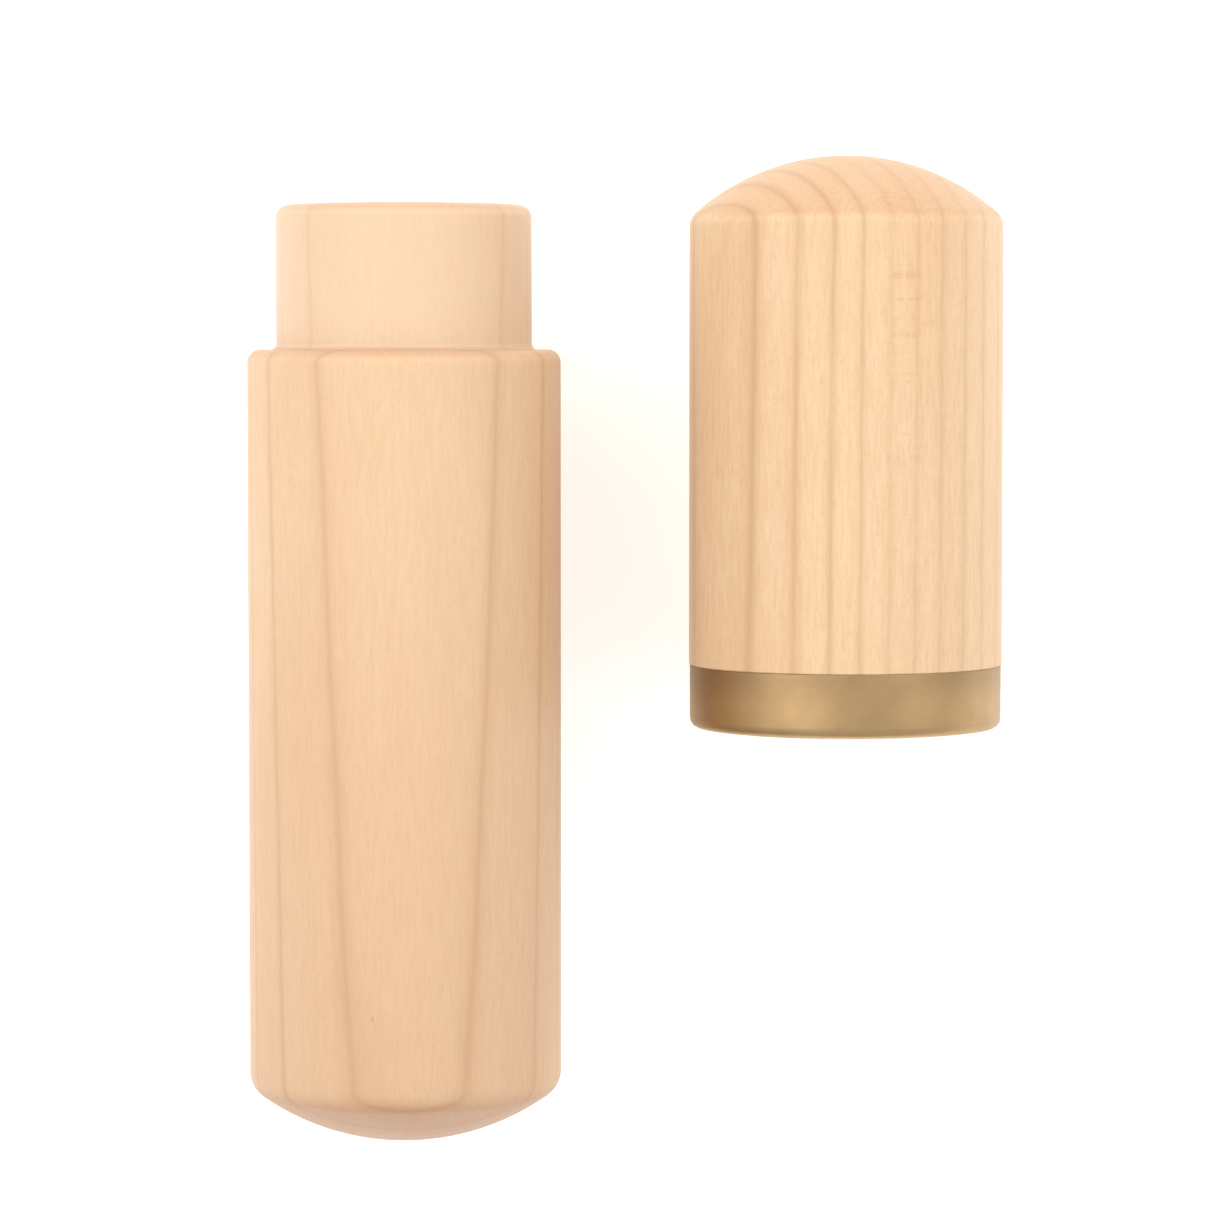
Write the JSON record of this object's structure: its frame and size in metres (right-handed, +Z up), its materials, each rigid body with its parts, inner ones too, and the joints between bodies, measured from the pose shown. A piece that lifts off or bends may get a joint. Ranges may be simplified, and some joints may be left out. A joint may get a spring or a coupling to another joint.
{
  "type": "salt and pepper shakers",
  "caption": "Travel salt and pepper shakers in turned maple: a tall shaker with a tenon and a short brass-banded one that plug together end to end, with screw-in sifters.",
  "frame": {"origin": "on the surface that the pair lies on, at the middle of the pair's length and width", "axes": "+Z up; +Y along both shakers' axes, the way the salt shaker's tenon points; +X from the salt shaker towards the pepper shaker"},
  "size_m": [0.0964, 0.126, 0.04],
  "materials": {
    "salt_maple": "matt, fine sanded",
    "pepper_maple": "matt, fine sanded",
    "band_brass": "satin brushed round the band",
    "throat_brass": "satin turned",
    "silicone": "translucent white silicone"
  },
  "bodies": {
    "salt_shaker": {"salt_body": "salt_maple", "salt_collar": "throat_brass"},
    "salt_seal": {"salt_gasket": "silicone"},
    "salt_cap": {"salt_sifter": "throat_brass"},
    "pepper_shaker": {"pepper_body": "pepper_maple", "brass_band": "band_brass", "pepper_collar": "throat_brass"},
    "pepper_seal": {"pepper_gasket": "silicone"},
    "pepper_cap": {"pepper_sifter": "throat_brass"}
  },
  "joints": [
    {"name": "pepper_shaker_carry", "type": "slide", "parent": "salt_shaker", "child": "pepper_shaker", "axis": [-0.2714, 0.9625, 0], "range_m": [0, 0.2078]},
    {"name": "salt_sifter_lift", "type": "slide", "parent": "salt_shaker", "child": "salt_seal", "axis": [0, 1, 0], "range_m": [0, 0.0057]},
    {"name": "salt_sifter_turn", "type": "hinge", "parent": "salt_seal", "child": "salt_cap", "pos_m": [-0.0282, 0.0567, 0.02], "axis": [0, 1, 0], "range_deg": [0, 810]},
    {"name": "pepper_sifter_lift", "type": "slide", "parent": "pepper_shaker", "child": "pepper_seal", "axis": [0, -1, 0], "range_m": [0, 0.0057]},
    {"name": "pepper_sifter_turn", "type": "hinge", "parent": "pepper_seal", "child": "pepper_cap", "pos_m": [0.0282, 0.0094, 0.02], "axis": [0, -1, 0], "range_deg": [0, 810]}
  ],
  "couplings": [
    {"joint": "salt_sifter_lift", "follows": "salt_sifter_turn", "m_per_rad": 0.00039789},
    {"joint": "pepper_sifter_lift", "follows": "pepper_sifter_turn", "m_per_rad": 0.00039789}
  ]
}
